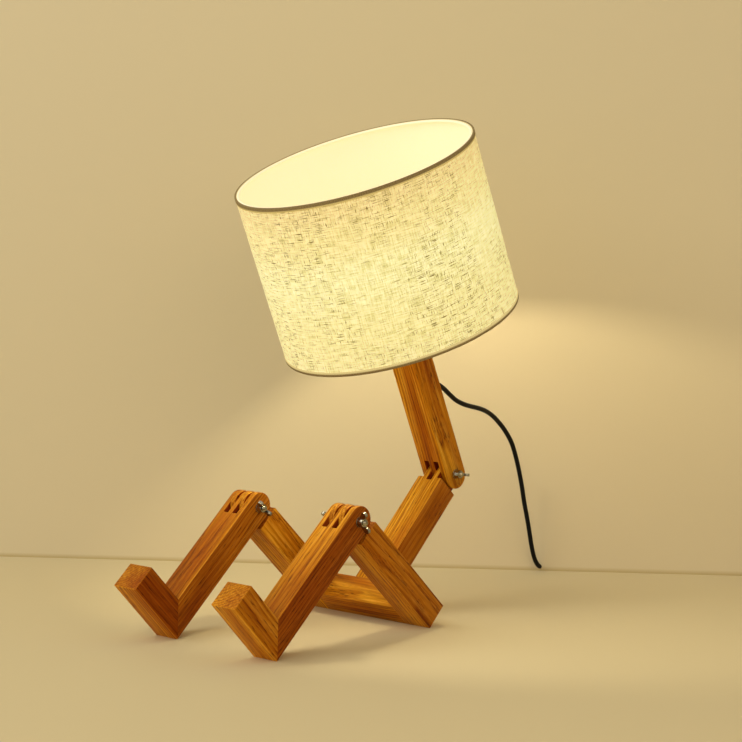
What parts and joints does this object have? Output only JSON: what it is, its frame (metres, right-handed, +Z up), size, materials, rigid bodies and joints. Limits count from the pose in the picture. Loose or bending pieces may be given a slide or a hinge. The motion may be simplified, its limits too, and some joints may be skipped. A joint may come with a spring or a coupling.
{
  "type": "robot shaped desk lamp",
  "caption": "Desk lamp shaped as a sitting robot of square wooden bars with comb hinges and wing nuts, a linen drum shade as its head and a mains lead with an inline switch.",
  "frame": {"origin": "on the surface the lamp stands on, midway across its width and midway between toe tips and the back of the shade, with the mains lead left out", "axes": "+Z up; +X towards the side of the wing nuts, which is the left hand of the robot; the robot faces -Y"},
  "size_m": [0.3615, 0.6249, 0.5104],
  "materials": {
    "oiled_wood": "oiled hardwood, semi-matt",
    "oiled_wood_dark": "oiled hardwood, semi-matt",
    "zinc_steel": "zinc-plated steel",
    "white_wire": "white powder coat",
    "black_plastic": "matt moulded plastic",
    "ceramic_white": "glazed insulator",
    "brass_contact": "bright brass",
    "aluminium_cap": "satin aluminium",
    "linen": "slubbed natural linen, matt",
    "liner": "translucent laminate, matt",
    "linen_tape": "woven tape, matt",
    "opal": "opal diffuser",
    "board": "white solder mask",
    "black_rubber": "satin black sheath",
    "nickel_brass": "nickel-plated"
  },
  "bodies": {
    "hips": {"hip_bar": "oiled_wood", "thigh_left": "oiled_wood_dark", "thigh_right": "oiled_wood_dark", "lower_torso": "oiled_wood", "hip_dowels": "oiled_wood", "torso_dowels": "oiled_wood", "cord_run": "black_rubber", "cord_tail": "black_rubber", "cord_coil": "black_rubber", "cord_end": "black_rubber", "coil_tie": "black_plastic", "switch_base": "black_plastic", "switch_cover": "black_plastic", "switch_screws": "zinc_steel", "switch_terminals": "brass_contact", "plug_body": "black_plastic", "plug_pins": "nickel_brass"},
    "lower_leg_left": {"shin_left": "oiled_wood", "foot_left": "oiled_wood_dark", "foot_dowels_left": "oiled_wood", "knee_screw_left": "zinc_steel", "knee_washers_left": "zinc_steel"},
    "lower_leg_right": {"shin_right": "oiled_wood", "foot_right": "oiled_wood_dark", "foot_dowels_right": "oiled_wood", "knee_screw_right": "zinc_steel", "knee_washers_right": "zinc_steel"},
    "upper_body": {"upper_torso": "oiled_wood", "waist_screw": "zinc_steel", "waist_washers": "zinc_steel", "holder_tube": "zinc_steel", "holder_cap": "black_plastic", "holder_core": "ceramic_white", "holder_screw_shell": "brass_contact", "holder_contacts": "brass_contact", "holder_sleeve": "black_plastic", "shade_ring_nut": "black_plastic", "shade_spider": "white_wire", "shade_bottom_wire": "white_wire", "shade_top_wire": "white_wire", "shade_liner": "liner", "shade_linen": "linen", "rim_binding_top": "linen_tape", "rim_binding_bottom": "linen_tape", "bulb_globe": "opal", "bulb_screw_cap": "aluminium_cap", "bulb_foot_contact": "brass_contact", "bulb_light_board": "board", "lead_guard": "black_rubber", "inner_lead": "black_rubber"},
    "knee_nut_left": {"knee_wing_nut_left": "zinc_steel"},
    "knee_nut_right": {"knee_wing_nut_right": "zinc_steel"},
    "waist_nut": {"waist_wing_nut": "zinc_steel"},
    "rocker": {"switch_rocker": "black_plastic"}
  },
  "joints": [
    {"name": "knee_left", "type": "hinge", "parent": "hips", "child": "lower_leg_left", "pos_m": [0.0715, -0.05355, 0.11738], "axis": [-1, 0, 0], "range_deg": [-8, 87]},
    {"name": "knee_right", "type": "hinge", "parent": "hips", "child": "lower_leg_right", "pos_m": [-0.0715, -0.05355, 0.11738], "axis": [-1, 0, 0], "range_deg": [-8, 87]},
    {"name": "waist", "type": "hinge", "parent": "hips", "child": "upper_body", "pos_m": [0, 0.16141, 0.13718], "axis": [1, 0, 0], "range_deg": [-67, 16], "deforming": ["cord_run"]},
    {"name": "knee_nut_spin_left", "type": "hinge", "parent": "lower_leg_left", "child": "knee_nut_left", "pos_m": [0.092, -0.05355, 0.11738], "axis": [1, 0, 0], "range_deg": [0, 360]},
    {"name": "knee_nut_spin_right", "type": "hinge", "parent": "lower_leg_right", "child": "knee_nut_right", "pos_m": [-0.051, -0.05355, 0.11738], "axis": [1, 0, 0], "range_deg": [0, 360]},
    {"name": "waist_nut_spin", "type": "hinge", "parent": "upper_body", "child": "waist_nut", "pos_m": [0.0205, 0.16141, 0.13718], "axis": [1, 0, 0], "range_deg": [0, 360]},
    {"name": "rocker_tilt", "type": "hinge", "parent": "hips", "child": "rocker", "pos_m": [-0.12, 0.4, 0.0124], "axis": [0, 1, 0], "range_deg": [0, 14]}
  ]
}
